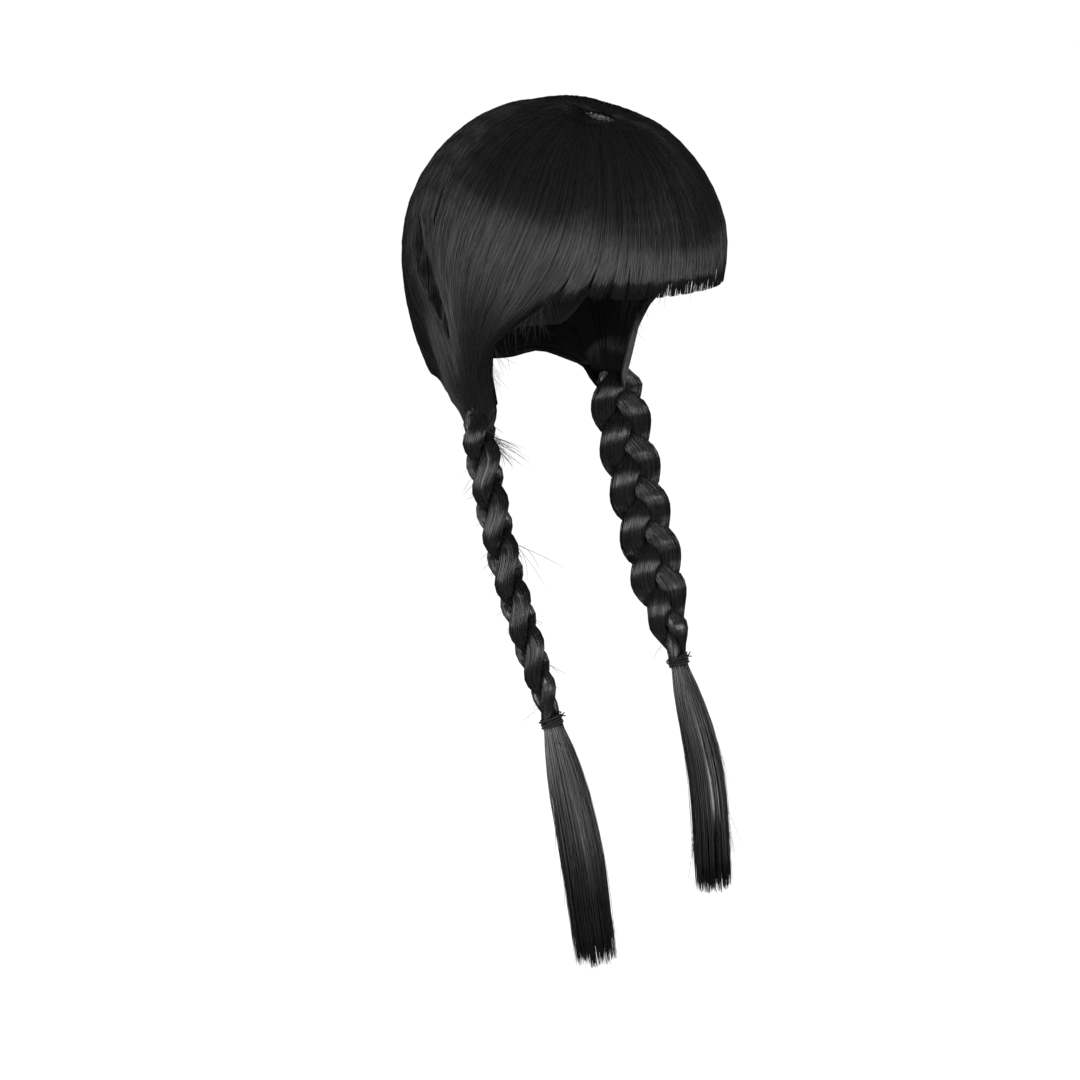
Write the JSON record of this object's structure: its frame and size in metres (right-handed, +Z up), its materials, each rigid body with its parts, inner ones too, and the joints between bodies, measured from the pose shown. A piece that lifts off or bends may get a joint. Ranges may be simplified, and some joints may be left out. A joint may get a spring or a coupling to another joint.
{
  "type": "pigtail wig",
  "caption": "Wig of straight hair with a blunt fringe and low plaits, each tied above a loose tail, on a thin cap that is open below for a head.",
  "frame": {"origin": "inside of the cap at the top of the head, where the wig sits on the head", "axes": "+Z up along the head, -Y to the front where the face is, +X to the wearer's left"},
  "size_m": [0.182, 0.2046, 0.5124],
  "materials": {
    "hair": "straight glossy near-black fibre",
    "tie": "matt black elastic cord",
    "cap": "black stretch net",
    "patch": "dark grey woven base"
  },
  "bodies": {
    "root": {"wig_cap": "cap", "crown_patch": "patch", "fringe": "hair", "side_hair_left": "hair", "side_hair_right": "hair", "back_hair_left": "hair", "back_hair_right": "hair", "plait_left_strand_1": "hair", "plait_left_strand_2": "hair", "plait_left_strand_3": "hair", "plait_right_strand_1": "hair", "plait_right_strand_2": "hair", "plait_right_strand_3": "hair", "hair_tie_left": "tie", "hair_tie_right": "tie", "tail_left": "hair", "tail_right": "hair"}
  },
  "joints": []
}
